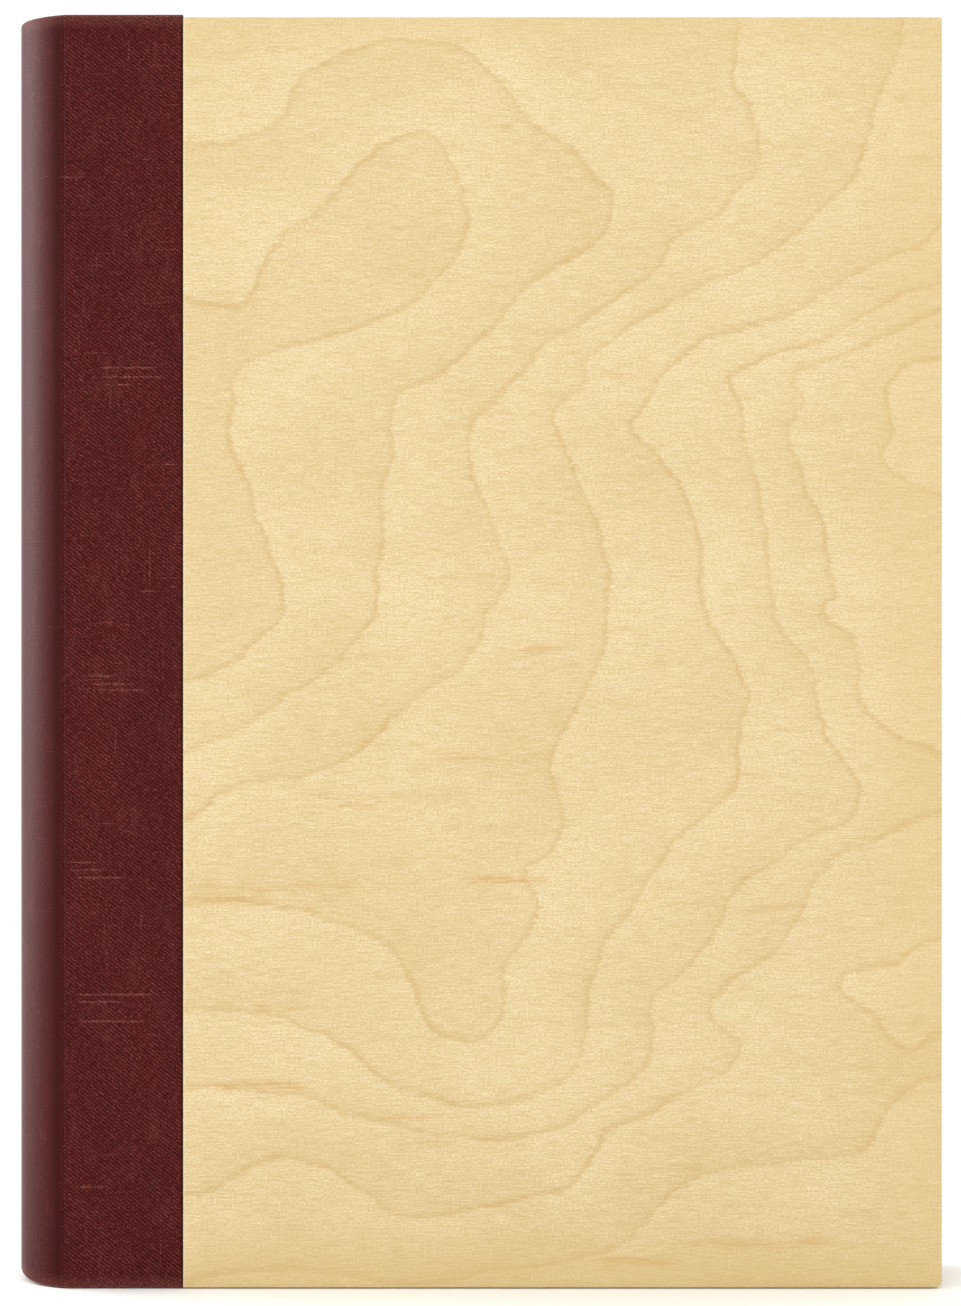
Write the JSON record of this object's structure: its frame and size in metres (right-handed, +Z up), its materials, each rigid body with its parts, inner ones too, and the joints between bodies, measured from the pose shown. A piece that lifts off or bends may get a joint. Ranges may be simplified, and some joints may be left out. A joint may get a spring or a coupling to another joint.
{
  "type": "prayer book",
  "caption": "Quarter-bound prayer book with birch-veneered boards, a rounded maroon cloth spine and sewn sections of leaves that fan as the covers open.",
  "frame": {"origin": "middle of the closed book's footprint, on the surface that it stands on", "axes": "+Z up to the head of the book, -Y out of the front cover, -X towards the spine"},
  "size_m": [0.158, 0.026, 0.2167],
  "materials": {
    "birch_veneer": "satin",
    "birch_core": "matte",
    "book_cloth": "satin",
    "card": "matte",
    "lining_paper": "matte",
    "linen_tape": "matte",
    "headband_silk": "satin",
    "endpaper": "matte",
    "leaf_paper": "matte"
  },
  "bodies": {
    "spine": {"spine_cloth": "book_cloth", "spine_stiffener": "card", "spine_lining": "lining_paper", "sewing_tape_1": "linen_tape", "sewing_tape_2": "linen_tape", "sewing_tape_3": "linen_tape", "headband_head": "headband_silk", "headband_tail": "headband_silk", "front_section_1_fold": "leaf_paper", "front_section_2_fold": "leaf_paper", "front_section_3_fold": "leaf_paper", "front_section_4_fold": "leaf_paper", "front_section_5_fold": "leaf_paper", "back_section_1_fold": "leaf_paper", "back_section_2_fold": "leaf_paper", "back_section_3_fold": "leaf_paper", "back_section_4_fold": "leaf_paper", "back_section_5_fold": "leaf_paper"},
    "front_cover": {"front_face_veneer": "birch_veneer", "front_core_ply": "birch_core", "front_inner_veneer": "birch_veneer", "front_cloth": "book_cloth", "front_pastedown": "endpaper"},
    "front_endpaper": {"front_flyleaf": "endpaper"},
    "front_section_1": {"front_section_1_leaves": "leaf_paper"},
    "front_section_2": {"front_section_2_leaves": "leaf_paper"},
    "front_section_3": {"front_section_3_leaves": "leaf_paper"},
    "front_section_4": {"front_section_4_leaves": "leaf_paper"},
    "front_section_5": {"front_section_5_leaves": "leaf_paper"},
    "back_cover": {"back_face_veneer": "birch_veneer", "back_core_ply": "birch_core", "back_inner_veneer": "birch_veneer", "back_cloth": "book_cloth", "back_pastedown": "endpaper"},
    "back_endpaper": {"back_flyleaf": "endpaper"},
    "back_section_1": {"back_section_1_leaves": "leaf_paper"},
    "back_section_2": {"back_section_2_leaves": "leaf_paper"},
    "back_section_3": {"back_section_3_leaves": "leaf_paper"},
    "back_section_4": {"back_section_4_leaves": "leaf_paper"},
    "back_section_5": {"back_section_5_leaves": "leaf_paper"}
  },
  "joints": [
    {"name": "front_cover_hinge", "type": "hinge", "parent": "spine", "child": "front_cover", "pos_m": [-0.0701, -0.0129, 0.1082], "axis": [0, 0, -1], "range_deg": [0, 170]},
    {"name": "front_flyleaf_turn", "type": "hinge", "parent": "spine", "child": "front_endpaper", "pos_m": [-0.0691, -0.00932, 0.1082], "axis": [0, 0, -1], "range_deg": [0, 85]},
    {"name": "front_section_1_turn", "type": "hinge", "parent": "spine", "child": "front_section_1", "pos_m": [-0.0691, -0.009, 0.1082], "axis": [0, 0, -1], "range_deg": [0, 76.5]},
    {"name": "front_section_2_turn", "type": "hinge", "parent": "spine", "child": "front_section_2", "pos_m": [-0.0691, -0.0072, 0.1082], "axis": [0, 0, -1], "range_deg": [0, 59.5]},
    {"name": "front_section_3_turn", "type": "hinge", "parent": "spine", "child": "front_section_3", "pos_m": [-0.0691, -0.0054, 0.1082], "axis": [0, 0, -1], "range_deg": [0, 42.5]},
    {"name": "front_section_4_turn", "type": "hinge", "parent": "spine", "child": "front_section_4", "pos_m": [-0.0691, -0.0036, 0.1082], "axis": [0, 0, -1], "range_deg": [0, 25.5]},
    {"name": "front_section_5_turn", "type": "hinge", "parent": "spine", "child": "front_section_5", "pos_m": [-0.0691, -0.0018, 0.1082], "axis": [0, 0, -1], "range_deg": [0, 8.5]},
    {"name": "back_cover_hinge", "type": "hinge", "parent": "spine", "child": "back_cover", "pos_m": [-0.0701, 0.0129, 0.1082], "axis": [0, 0, 1], "range_deg": [0, 170]},
    {"name": "back_flyleaf_turn", "type": "hinge", "parent": "spine", "child": "back_endpaper", "pos_m": [-0.0691, 0.00932, 0.1082], "axis": [0, 0, 1], "range_deg": [0, 85]},
    {"name": "back_section_1_turn", "type": "hinge", "parent": "spine", "child": "back_section_1", "pos_m": [-0.0691, 0.009, 0.1082], "axis": [0, 0, 1], "range_deg": [0, 76.5]},
    {"name": "back_section_2_turn", "type": "hinge", "parent": "spine", "child": "back_section_2", "pos_m": [-0.0691, 0.0072, 0.1082], "axis": [0, 0, 1], "range_deg": [0, 59.5]},
    {"name": "back_section_3_turn", "type": "hinge", "parent": "spine", "child": "back_section_3", "pos_m": [-0.0691, 0.0054, 0.1082], "axis": [0, 0, 1], "range_deg": [0, 42.5]},
    {"name": "back_section_4_turn", "type": "hinge", "parent": "spine", "child": "back_section_4", "pos_m": [-0.0691, 0.0036, 0.1082], "axis": [0, 0, 1], "range_deg": [0, 25.5]},
    {"name": "back_section_5_turn", "type": "hinge", "parent": "spine", "child": "back_section_5", "pos_m": [-0.0691, 0.0018, 0.1082], "axis": [0, 0, 1], "range_deg": [0, 8.5]}
  ],
  "couplings": [
    {"joint": "front_flyleaf_turn", "follows": "front_cover_hinge", "ratio": 0.5},
    {"joint": "front_section_1_turn", "follows": "front_cover_hinge", "ratio": 0.45},
    {"joint": "front_section_2_turn", "follows": "front_cover_hinge", "ratio": 0.35},
    {"joint": "front_section_3_turn", "follows": "front_cover_hinge", "ratio": 0.25},
    {"joint": "front_section_4_turn", "follows": "front_cover_hinge", "ratio": 0.15},
    {"joint": "front_section_5_turn", "follows": "front_cover_hinge", "ratio": 0.05},
    {"joint": "back_flyleaf_turn", "follows": "back_cover_hinge", "ratio": 0.5},
    {"joint": "back_section_1_turn", "follows": "back_cover_hinge", "ratio": 0.45},
    {"joint": "back_section_2_turn", "follows": "back_cover_hinge", "ratio": 0.35},
    {"joint": "back_section_3_turn", "follows": "back_cover_hinge", "ratio": 0.25},
    {"joint": "back_section_4_turn", "follows": "back_cover_hinge", "ratio": 0.15},
    {"joint": "back_section_5_turn", "follows": "back_cover_hinge", "ratio": 0.05}
  ]
}
